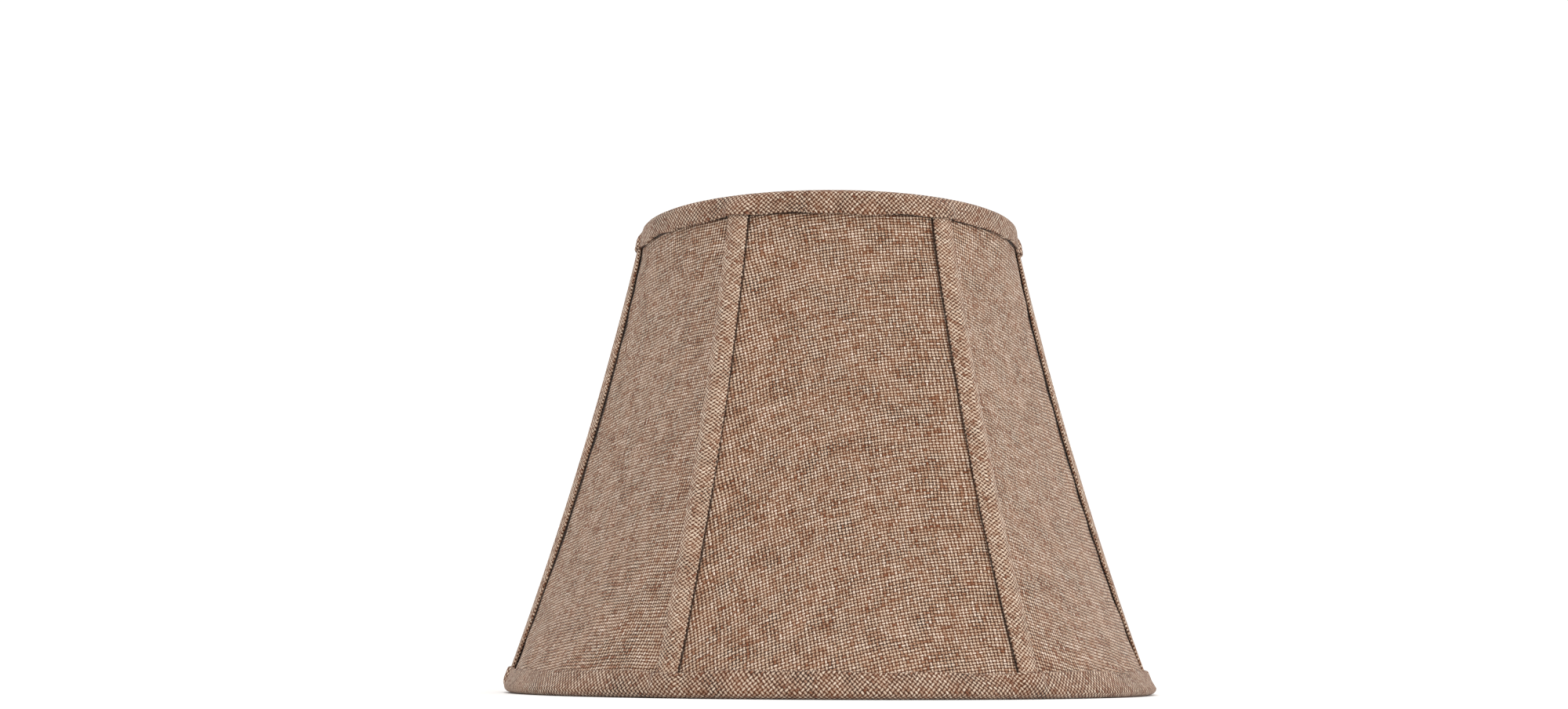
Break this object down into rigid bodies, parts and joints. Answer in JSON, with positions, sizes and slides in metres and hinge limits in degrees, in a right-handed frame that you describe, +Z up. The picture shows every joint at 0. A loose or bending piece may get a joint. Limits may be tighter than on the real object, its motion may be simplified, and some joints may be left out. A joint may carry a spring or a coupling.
{
  "type": "lamp shade",
  "caption": "Small fabric lamp shade: ribbed wire frame, woven cover with folded tapes on the ribs and rims, and a sprung clip that grips a candle bulb.",
  "frame": {"origin": "centre of the bottom rim, on the surface the shade stands on", "axes": "+Z up the shade's axis, +X through rib 1 and along the crossbar"},
  "size_m": [0.1784, 0.1784, 0.13],
  "materials": {
    "cover_fabric": "coarse plain weave of slubby cream, rust and brown yarn",
    "seam_tape": "folded bias tape of the cover's weave",
    "rim_tape": "folded bias tape of the cover's weave",
    "lining_fabric": "smooth off-white lining cloth",
    "frame_wire": "white powder coat on steel wire",
    "clip_plate": "pressed brass, slightly dulled",
    "spring_wire": "drawn spring steel wire"
  },
  "bodies": {
    "shade": {"bottom_ring": "frame_wire", "top_ring": "frame_wire", "rib_1": "frame_wire", "rib_2": "frame_wire", "rib_3": "frame_wire", "rib_4": "frame_wire", "rib_5": "frame_wire", "rib_6": "frame_wire", "panel_1": "cover_fabric", "panel_2": "cover_fabric", "panel_3": "cover_fabric", "panel_4": "cover_fabric", "panel_5": "cover_fabric", "panel_6": "cover_fabric", "lining_1": "lining_fabric", "lining_2": "lining_fabric", "lining_3": "lining_fabric", "lining_4": "lining_fabric", "lining_5": "lining_fabric", "lining_6": "lining_fabric", "seam_strip_1": "seam_tape", "seam_strip_2": "seam_tape", "seam_strip_3": "seam_tape", "seam_strip_4": "seam_tape", "seam_strip_5": "seam_tape", "seam_strip_6": "seam_tape", "bottom_trim": "rim_tape", "top_trim": "rim_tape", "crossbar": "frame_wire", "clip_saddle": "clip_plate", "clip_rivet": "clip_plate"},
    "right_loop": {"clip_loop_right": "spring_wire"},
    "left_loop": {"clip_loop_left": "spring_wire"}
  },
  "joints": [
    {"name": "right_loop_spring", "type": "hinge", "parent": "shade", "child": "right_loop", "pos_m": [0.0045, 0, 0.1081], "axis": [0, -1, 0], "range_deg": [0, 15], "stiffness_Nm_per_rad": 0.03},
    {"name": "left_loop_spring", "type": "hinge", "parent": "shade", "child": "left_loop", "pos_m": [-0.0045, 0, 0.1081], "axis": [0, 1, 0], "range_deg": [0, 15], "stiffness_Nm_per_rad": 0.03}
  ]
}
